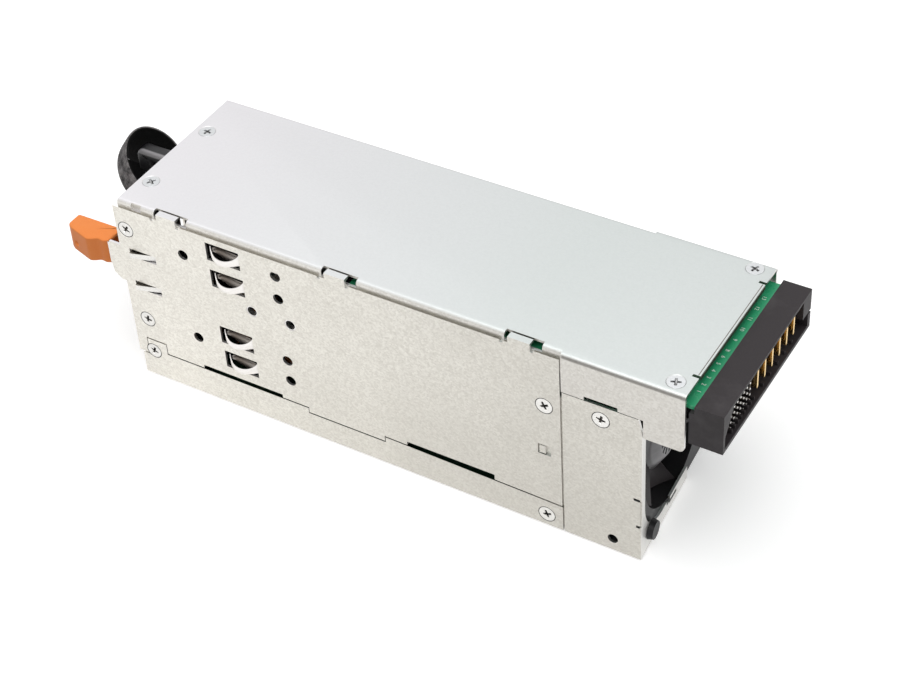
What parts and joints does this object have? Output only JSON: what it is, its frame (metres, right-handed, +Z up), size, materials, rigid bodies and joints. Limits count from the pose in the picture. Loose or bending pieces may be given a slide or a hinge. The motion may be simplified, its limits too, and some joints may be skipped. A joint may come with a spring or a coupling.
{
  "type": "hot swap server power supply",
  "caption": "Slim sheet-metal hot swap power supply module with sprung release tab, pull handle, cord strap, rear mains inlet, axial fan and edge output connector.",
  "frame": {"origin": "centre of the case's bottom face, midway along the sheet-metal case and midway across it", "axes": "+X from the handle end to the output connector end, +Y from the latch side to the far side, +Z up"},
  "size_m": [0.2827, 0.0756, 0.0845],
  "materials": {
    "case_steel": "dull zinc-plated sheet, lengthwise grain",
    "cover_steel": "dull zinc-plated sheet, fine grain",
    "spring_steel": "bright rolled strip",
    "screw_steel": "nickel-plated, satin",
    "orange_plastic": "moulded, satin",
    "black_plastic": "moulded, satin",
    "dark_plastic": "moulded, fine spark finish",
    "green_board": "coated circuit board",
    "contact_gold": "gold-plated",
    "tin_pins": "tin-plated",
    "strap_fabric": "woven hook-and-loop band",
    "can_sleeve": "shrunk sleeve",
    "ferrite": "matt",
    "winding": "taped winding",
    "copper": "enamelled wire",
    "heatsink": "extruded",
    "film": "thin film",
    "lens": "translucent",
    "cap_box": "moulded",
    "fuse_body": "glazed",
    "shaft_steel": "ground",
    "bearing_bronze": "sintered"
  },
  "bodies": {
    "case": {"chassis": "case_steel", "near_side_panel": "case_steel", "top_cover": "cover_steel", "rear_panel": "case_steel", "latch_base": "spring_steel", "latch_rivets": "screw_steel", "grounding_springs": "spring_steel", "fan_bracket": "case_steel", "fan_housing": "black_plastic", "fan_bearing": "bearing_bronze", "fan_stator": "copper", "fan_rivets": "black_plastic", "board_standoffs": "screw_steel", "board_screws": "screw_steel", "main_board": "green_board", "insulating_sheet": "film", "output_board": "green_board", "board_spacers": "screw_steel", "dc_connector": "dark_plastic", "power_contacts": "contact_gold", "signal_contacts": "contact_gold", "ac_inlet": "black_plastic", "inlet_pins": "tin_pins", "handle": "black_plastic", "handle_screws": "screw_steel", "cord_strap": "strap_fabric", "status_lens": "lens", "bulk_capacitors": "can_sleeve", "input_filter_choke": "copper", "input_filter_capacitor": "cap_box", "power_factor_choke": "copper", "input_fuse": "fuse_body", "primary_heatsink": "heatsink", "secondary_heatsink": "heatsink", "power_transistors": "dark_plastic", "transformer_core": "ferrite", "transformer_winding": "winding", "output_capacitors": "can_sleeve", "side_screws": "screw_steel", "cover_screws": "screw_steel"},
    "latch": {"latch_arm": "spring_steel", "release_tab": "orange_plastic"},
    "fan": {"fan_rotor": "black_plastic", "fan_shaft": "shaft_steel"}
  },
  "joints": [
    {"name": "latch_release", "type": "hinge", "parent": "case", "child": "latch", "pos_m": [-0.0787, -0.0353, 0.0529], "axis": [0, 0, -1], "range_deg": [0, 4.5], "stiffness_Nm_per_rad": 3},
    {"name": "fan_spin", "type": "hinge", "parent": "case", "child": "fan", "pos_m": [0.09732, -0.0034, 0.0325], "axis": [0.9975, 0.0705, 0], "continuous": true}
  ]
}
